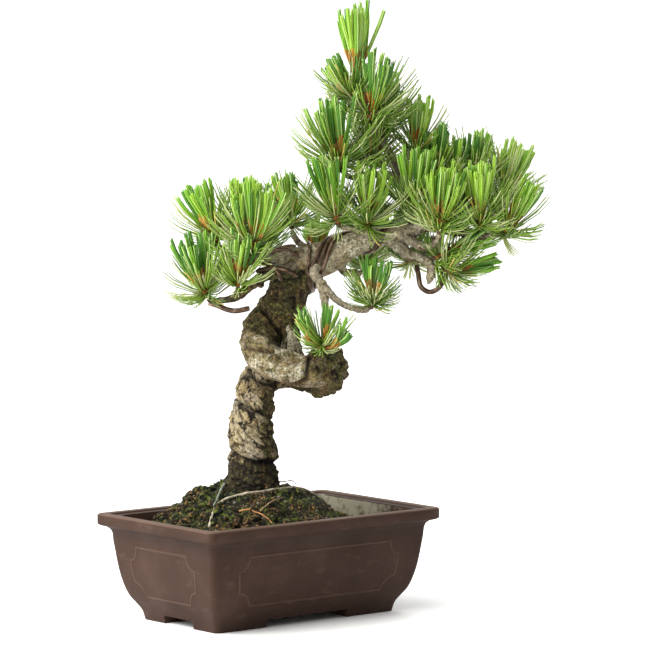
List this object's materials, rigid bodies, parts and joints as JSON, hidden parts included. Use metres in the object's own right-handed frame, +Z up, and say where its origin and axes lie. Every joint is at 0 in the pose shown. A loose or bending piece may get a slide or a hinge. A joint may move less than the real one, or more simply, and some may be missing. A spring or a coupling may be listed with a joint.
{
  "type": "bonsai pine in a pot",
  "caption": "Small pine with a corkscrew trunk, wired boughs and tufts of slim green needles, set on a mossy mound in a low footed rectangular clay pot.",
  "frame": {"origin": "middle of the whole plant's box, at the underside of the pot's feet", "axes": "+X along the pot's long side, +Y along its short side, +Z up"},
  "size_m": [0.2908, 0.2312, 0.4544],
  "materials": {
    "clay": "unglazed, brown, slightly worn",
    "soil": "dark moss and grit",
    "bark": "rough, plated and lichened",
    "needles": "soft sheen",
    "wire": "brown anodised"
  },
  "bodies": {
    "root": {"bough_apex": "bark", "bough_behind": "bark", "bough_hanging": "bark", "bough_left_back": "bark", "bough_left_front": "bark", "bough_left_low": "bark", "bough_low_right": "bark", "bough_right": "bark", "bough_right_back": "bark", "bough_right_hanging": "bark", "bough_right_low": "bark", "pot": "clay", "soil": "soil", "trunk": "bark", "tuft_apex": "needles", "tuft_apex_back": "needles", "tuft_apex_inner": "needles", "tuft_apex_left": "needles", "tuft_apex_right": "needles", "tuft_behind": "needles", "tuft_crook_back": "needles", "tuft_hanging": "needles", "tuft_inner": "needles", "tuft_leader": "needles", "tuft_leader_left": "needles", "tuft_left_back": "needles", "tuft_left_front": "needles", "tuft_left_inner": "needles", "tuft_left_middle": "needles", "tuft_left_outer": "needles", "tuft_left_tip": "needles", "tuft_left_top": "needles", "tuft_low": "needles", "tuft_right_back": "needles", "tuft_right_crest": "needles", "tuft_right_face": "needles", "tuft_right_front": "needles", "tuft_right_lower": "needles", "tuft_right_rear": "needles", "tuft_right_shade": "needles", "tuft_right_sprig": "needles", "tuft_right_tip": "needles", "tuft_right_top": "needles", "tuft_right_under": "needles", "tuft_right_upper": "needles", "tuft_shoulder_left": "needles", "tuft_shoulder_right": "needles", "twig_apex_left": "bark", "twig_behind_crook": "bark", "twig_front": "bark", "twig_rear": "bark", "twig_right_up": "bark", "wire_cut_end": "wire", "wire_left_front": "wire", "wire_left_low": "wire", "wire_right_low": "wire", "wire_shoulder_1": "wire", "wire_shoulder_2": "wire", "wire_stub_loop": "wire"}
  },
  "joints": []
}
